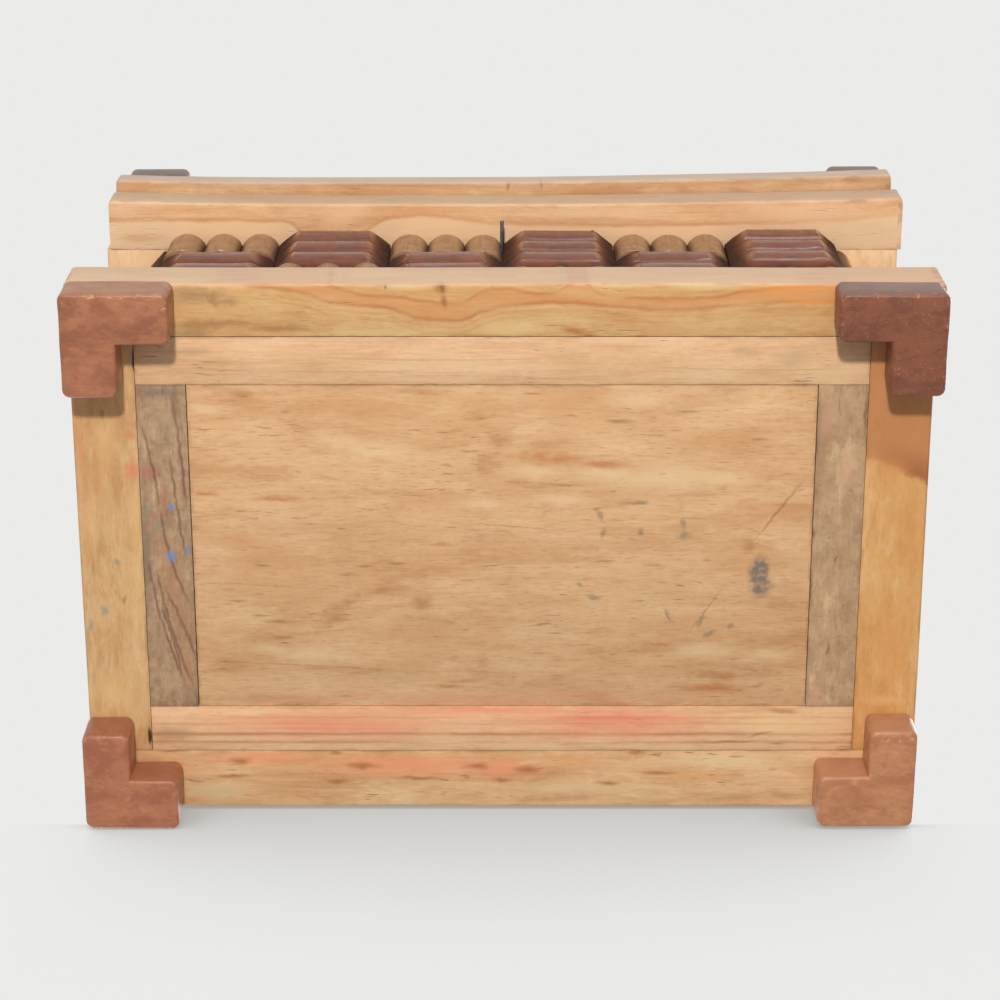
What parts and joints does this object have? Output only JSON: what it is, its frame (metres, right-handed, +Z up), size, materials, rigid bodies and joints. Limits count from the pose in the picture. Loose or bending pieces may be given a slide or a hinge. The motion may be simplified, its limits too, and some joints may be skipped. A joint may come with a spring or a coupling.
{
  "type": "hinged wooden trinket box",
  "caption": "Rectangular hinged pine box on corner feet, with base and rim mouldings and a basket-weave facing of light beads and dark reeded blocks.",
  "frame": {"origin": "on the surface that the feet stand on, under the middle of the box's overall plan", "axes": "+Z up, +X along the width to the viewer's right when facing the decorated front, -Y the front"},
  "size_m": [0.1822, 0.126, 0.1005],
  "materials": {
    "pine": "sealed, worn smooth",
    "panel_pine": "sealed, stained by use",
    "end_grain_pine": "raw sawn edge",
    "bead_wood": "glossy varnish",
    "dark_wood": "glossy varnish",
    "red_wood": "satin, worn edges",
    "brass": "dull, aged",
    "steel": "dull, aged"
  },
  "bodies": {
    "box": {"bottom_panel": "panel_pine", "front_wall": "pine", "back_wall": "pine", "left_wall": "end_grain_pine", "right_wall": "end_grain_pine", "base_front_rail": "pine", "base_back_rail": "pine", "base_left_stile": "pine", "base_right_stile": "pine", "rim_front_rail": "pine", "rim_back_rail": "pine", "rim_left_stile": "pine", "rim_right_stile": "pine", "front_left_foot": "red_wood", "front_right_foot": "red_wood", "back_left_foot": "red_wood", "back_right_foot": "red_wood", "front_beads": "bead_wood", "right_beads": "bead_wood", "back_beads": "bead_wood", "left_beads": "bead_wood", "front_blocks": "dark_wood", "right_blocks": "dark_wood", "back_blocks": "dark_wood", "left_blocks": "dark_wood", "latch_pin": "steel", "left_hinge_box_leaf": "brass", "right_hinge_box_leaf": "brass", "left_hinge_pin": "brass", "right_hinge_pin": "brass", "box_hinge_nails": "brass"},
    "lid": {"lid_panel": "panel_pine", "lid_front_rail": "pine", "lid_back_rail": "pine", "lid_left_stile": "pine", "lid_right_stile": "pine", "front_left_lid_block": "red_wood", "front_right_lid_block": "red_wood", "back_left_lid_block": "red_wood", "back_right_lid_block": "red_wood", "left_hinge_lid_leaf": "brass", "right_hinge_lid_leaf": "brass", "lid_hinge_nails": "brass"}
  },
  "joints": [
    {"name": "lid_hinge", "type": "hinge", "parent": "box", "child": "lid", "pos_m": [0, 0.06165, 0.08703], "axis": [-1, 0, 0], "range_deg": [0, 185]}
  ]
}
